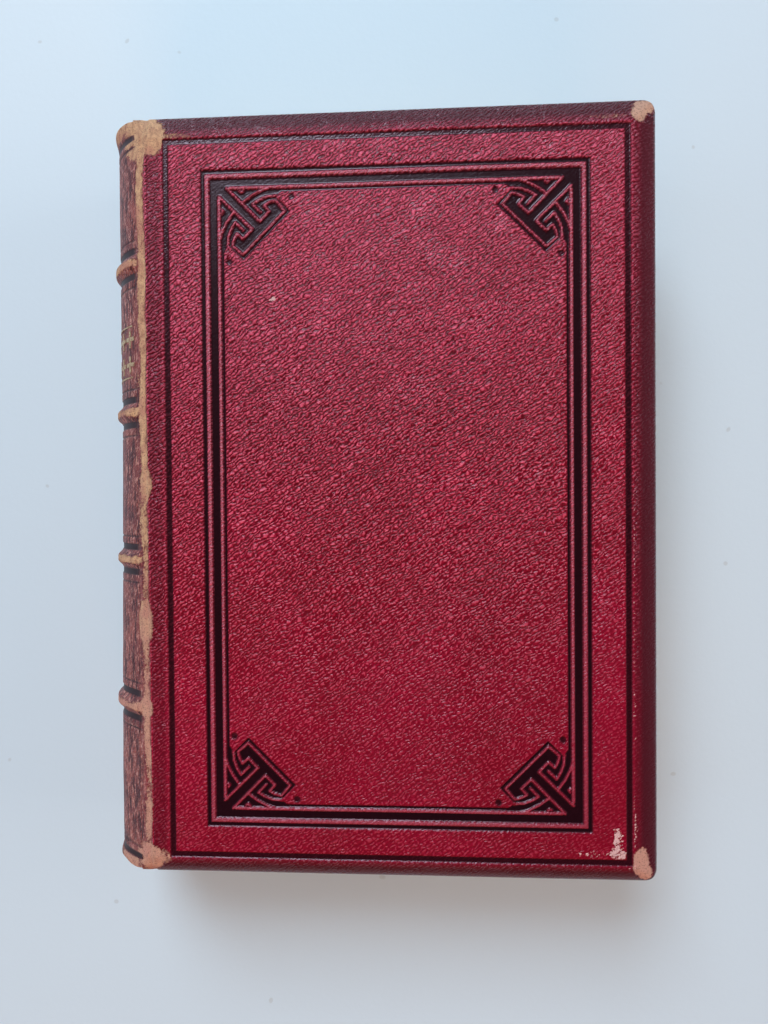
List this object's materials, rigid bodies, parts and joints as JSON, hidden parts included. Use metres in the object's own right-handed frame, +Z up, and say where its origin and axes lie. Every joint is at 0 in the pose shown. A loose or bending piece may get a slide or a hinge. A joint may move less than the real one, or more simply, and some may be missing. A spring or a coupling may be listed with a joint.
{
  "type": "prayer book",
  "caption": "Leather-bound prayer book with bevelled boards, a round spine with raised bands, blind-tooled covers that open and leaves that turn.",
  "frame": {"origin": "under the middle of the shut book's box, on the surface that the back cover lies on", "axes": "+X towards the fore-edge, +Y towards the head, +Z up through the front cover"},
  "size_m": [0.1422, 0.194, 0.044],
  "materials": {
    "cover_leather": "fine-grained crimson morocco, blind tooled in black, rubbed at edges and corners",
    "spine_leather": "faded and worn morocco, rubbed to tan suede along the joints and on the bands",
    "millboard": "dense grey-brown millboard and folded card",
    "endpaper": "marbled endpaper, slightly glazed",
    "paper": "toned rag paper with gilt edges",
    "cord": "hemp cord and linen thread",
    "mull": "open-weave cloth set in glue",
    "silk": "two-coloured silk wound over a core",
    "gold": "gold leaf tooled into leather, slightly rubbed"
  },
  "bodies": {
    "text_block": {"gathering_05": "paper", "gathering_06": "paper", "gathering_07": "paper", "gathering_08": "paper", "gathering_09": "paper", "gathering_10": "paper", "gathering_11": "paper", "gathering_12": "paper", "gathering_13": "paper", "gathering_14": "paper", "gathering_15": "paper", "gathering_16": "paper", "gathering_17": "paper", "gathering_18": "paper", "gathering_19": "paper", "gathering_20": "paper", "gathering_21": "paper", "gathering_22": "paper", "gathering_23": "paper", "gathering_24": "paper", "sewn_folds": "paper", "endleaf_stubs": "paper", "sewing_cords": "cord", "kettle_stitches": "cord", "mull": "mull", "hollow_tube": "millboard", "spine_stiffener": "millboard", "raised_band_1": "millboard", "raised_band_2": "millboard", "raised_band_3": "millboard", "raised_band_4": "millboard", "headband": "silk", "tailband": "silk", "spine_leather": "spine_leather", "front_joint_leather": "spine_leather", "back_joint_leather": "spine_leather", "gilt_ornament": "gold"},
    "front_cover": {"front_board": "millboard", "front_leather": "cover_leather", "front_pastedown": "endpaper"},
    "back_cover": {"back_board": "millboard", "back_leather": "cover_leather", "back_pastedown": "endpaper"},
    "front_endpaper_leaf": {"front_free_endpaper": "endpaper"},
    "front_flyleaf_leaf": {"front_flyleaf": "paper"},
    "turning_gathering_1": {"gathering_01": "paper"},
    "turning_gathering_2": {"gathering_02": "paper"},
    "turning_gathering_3": {"gathering_03": "paper"},
    "turning_gathering_4": {"gathering_04": "paper"},
    "back_flyleaf_leaf": {"back_flyleaf": "paper"},
    "back_endpaper_leaf": {"back_free_endpaper": "endpaper"}
  },
  "joints": [
    {"name": "front_cover_hinge", "type": "hinge", "parent": "text_block", "child": "front_cover", "pos_m": [-0.0564, 0, 0.044], "axis": [0, -1, 0], "range_deg": [0, 178]},
    {"name": "back_cover_hinge", "type": "hinge", "parent": "text_block", "child": "back_cover", "pos_m": [-0.0564, 0, 0], "axis": [0, 1, 0], "range_deg": [0, 178]},
    {"name": "front_endpaper_leaf_turn", "type": "hinge", "parent": "text_block", "child": "front_endpaper_leaf", "pos_m": [-0.0564, 0, 0.044], "axis": [0, -1, 0], "range_deg": [0, 173.55]},
    {"name": "front_flyleaf_leaf_turn", "type": "hinge", "parent": "text_block", "child": "front_flyleaf_leaf", "pos_m": [-0.0564, 0, 0.044], "axis": [0, -1, 0], "range_deg": [0, 169.1]},
    {"name": "turning_gathering_1_turn", "type": "hinge", "parent": "text_block", "child": "turning_gathering_1", "pos_m": [-0.0564, 0, 0.044], "axis": [0, -1, 0], "range_deg": [0, 164.65]},
    {"name": "turning_gathering_2_turn", "type": "hinge", "parent": "text_block", "child": "turning_gathering_2", "pos_m": [-0.0564, 0, 0.044], "axis": [0, -1, 0], "range_deg": [0, 160.2]},
    {"name": "turning_gathering_3_turn", "type": "hinge", "parent": "text_block", "child": "turning_gathering_3", "pos_m": [-0.0564, 0, 0.044], "axis": [0, -1, 0], "range_deg": [0, 10.68]},
    {"name": "turning_gathering_4_turn", "type": "hinge", "parent": "text_block", "child": "turning_gathering_4", "pos_m": [-0.0564, 0, 0.044], "axis": [0, -1, 0], "range_deg": [0, 5.34]},
    {"name": "back_endpaper_leaf_turn", "type": "hinge", "parent": "text_block", "child": "back_endpaper_leaf", "pos_m": [-0.0564, 0, 0], "axis": [0, 1, 0], "range_deg": [0, 173.55]},
    {"name": "back_flyleaf_leaf_turn", "type": "hinge", "parent": "text_block", "child": "back_flyleaf_leaf", "pos_m": [-0.0564, 0, 0], "axis": [0, 1, 0], "range_deg": [0, 169.1]}
  ],
  "couplings": [
    {"joint": "front_endpaper_leaf_turn", "follows": "front_cover_hinge", "ratio": 0.975},
    {"joint": "front_flyleaf_leaf_turn", "follows": "front_cover_hinge", "ratio": 0.95},
    {"joint": "turning_gathering_1_turn", "follows": "front_cover_hinge", "ratio": 0.925},
    {"joint": "turning_gathering_2_turn", "follows": "front_cover_hinge", "ratio": 0.9},
    {"joint": "turning_gathering_3_turn", "follows": "front_cover_hinge", "ratio": 0.06},
    {"joint": "turning_gathering_4_turn", "follows": "front_cover_hinge", "ratio": 0.03},
    {"joint": "back_endpaper_leaf_turn", "follows": "back_cover_hinge", "ratio": 0.975},
    {"joint": "back_flyleaf_leaf_turn", "follows": "back_cover_hinge", "ratio": 0.95}
  ]
}
